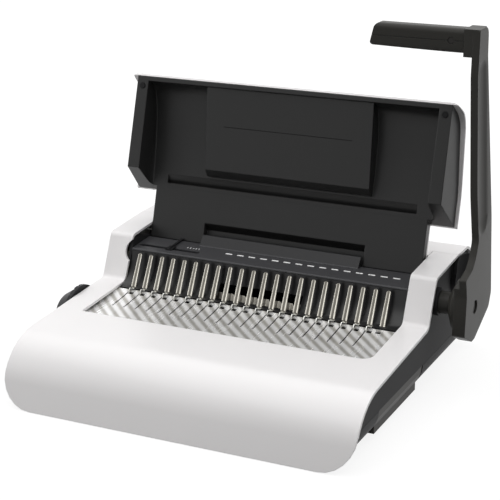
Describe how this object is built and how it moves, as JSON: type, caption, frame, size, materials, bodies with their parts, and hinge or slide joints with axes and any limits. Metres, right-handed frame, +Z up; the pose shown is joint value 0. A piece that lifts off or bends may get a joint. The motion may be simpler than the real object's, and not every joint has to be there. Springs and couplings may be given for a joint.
{
  "type": "comb binding machine",
  "caption": "Manual comb binding machine with a punch and comb opener worked by one side lever, a hinged lid and a chip drawer.",
  "frame": {"origin": "centre of the four feet, on the surface the machine stands on", "axes": "+Z up, +X to the lever side, +Y to the rear, so the user sits at -Y"},
  "size_m": [0.456, 0.3885, 0.3915],
  "materials": {
    "white_plastic": "gloss",
    "base_plastic": "fine texture",
    "cover_plastic": "fine texture",
    "liner_plastic": "fine texture",
    "lid_plastic": "fine texture",
    "gloss_black": "gloss",
    "strip_plastic": "satin",
    "lever_plastic": "satin",
    "drawer_plastic": "satin",
    "knob_plastic": "satin",
    "polished_steel": "polished",
    "satin_nickel": "satin",
    "bright_steel": "bright",
    "zinc_steel": "zinc plated",
    "dark_steel": "oiled",
    "nylon": "natural",
    "black_rubber": "matt"
  },
  "bodies": {
    "machine": {"base_housing": "base_plastic", "right_side_cover": "cover_plastic", "left_side_cover": "cover_plastic", "top_shell": "white_plastic", "rear_cover": "white_plastic", "arm_liners": "liner_plastic", "comb_wall": "gloss_black", "top_strip": "strip_plastic", "binding_tray": "polished_steel", "comb_tines": "satin_nickel", "guide_plate": "zinc_steel", "die_plate": "zinc_steel", "paper_stop": "zinc_steel", "side_frames": "zinc_steel", "shaft_bushings": "nylon", "idler_axles": "bright_steel", "hook_guides": "nylon", "punch_springs": "bright_steel", "chip_chute": "liner_plastic", "hinge_pins": "bright_steel", "rubber_feet": "black_rubber", "base_screws": "zinc_steel", "knob_bushing": "nylon"},
    "lever": {"lever_arm": "lever_plastic", "grip_upper_half": "lever_plastic", "grip_lower_half": "lever_plastic", "grip_core": "bright_steel", "grip_screw": "zinc_steel", "lever_screw": "zinc_steel", "main_shaft": "bright_steel", "punch_cams": "dark_steel", "opener_gears": "nylon"},
    "idlers": {"idler_gears": "nylon"},
    "punch": {"punch_bar": "dark_steel", "punch_pins": "bright_steel"},
    "opener": {"hook_carriage": "zinc_steel", "opener_hooks": "polished_steel"},
    "edge_stop": {"edge_guide": "strip_plastic"},
    "lid": {"lid_skin": "white_plastic", "lid_liner": "lid_plastic", "lid_bumpers": "black_rubber"},
    "knob": {"size_knob": "knob_plastic", "knob_shaft": "bright_steel", "stop_cam": "dark_steel"},
    "drawer": {"chip_drawer": "drawer_plastic"}
  },
  "joints": [
    {"name": "lever_hinge", "type": "hinge", "parent": "machine", "child": "lever", "pos_m": [0, 0.0485, 0.0974], "axis": [1, 0, 0], "range_deg": [0, 80]},
    {"name": "idler_turn", "type": "hinge", "parent": "machine", "child": "idlers", "pos_m": [0, 0.0485, 0.0734], "axis": [1, 0, 0], "range_deg": [-134, 0]},
    {"name": "punch_slide", "type": "slide", "parent": "machine", "child": "punch", "axis": [0, 0.9613, -0.2756], "range_m": [0, 0.00601]},
    {"name": "hook_slide", "type": "slide", "parent": "machine", "child": "opener", "axis": [0, -1, 0], "range_m": [0, 0.021]},
    {"name": "edge_guide_slide", "type": "slide", "parent": "machine", "child": "edge_stop", "axis": [1, 0, 0], "range_m": [-0.036, 0.024]},
    {"name": "lid_hinge", "type": "hinge", "parent": "machine", "child": "lid", "pos_m": [0, 0.0831, 0.1205], "axis": [1, 0, 0], "range_deg": [0, 109.6]},
    {"name": "knob_turn", "type": "hinge", "parent": "machine", "child": "knob", "pos_m": [-0.2, -0.028, 0.0436], "axis": [1, 0, 0], "range_deg": [0, 180]},
    {"name": "drawer_slide", "type": "slide", "parent": "machine", "child": "drawer", "axis": [1, 0, 0], "range_m": [0, 0.3]}
  ],
  "couplings": [
    {"joint": "idler_turn", "follows": "lever_hinge", "ratio": -1.6667},
    {"joint": "punch_slide", "follows": "lever_hinge", "m_per_rad": 0.0042972},
    {"joint": "hook_slide", "follows": "lever_hinge", "m_per_rad": 0.015}
  ]
}
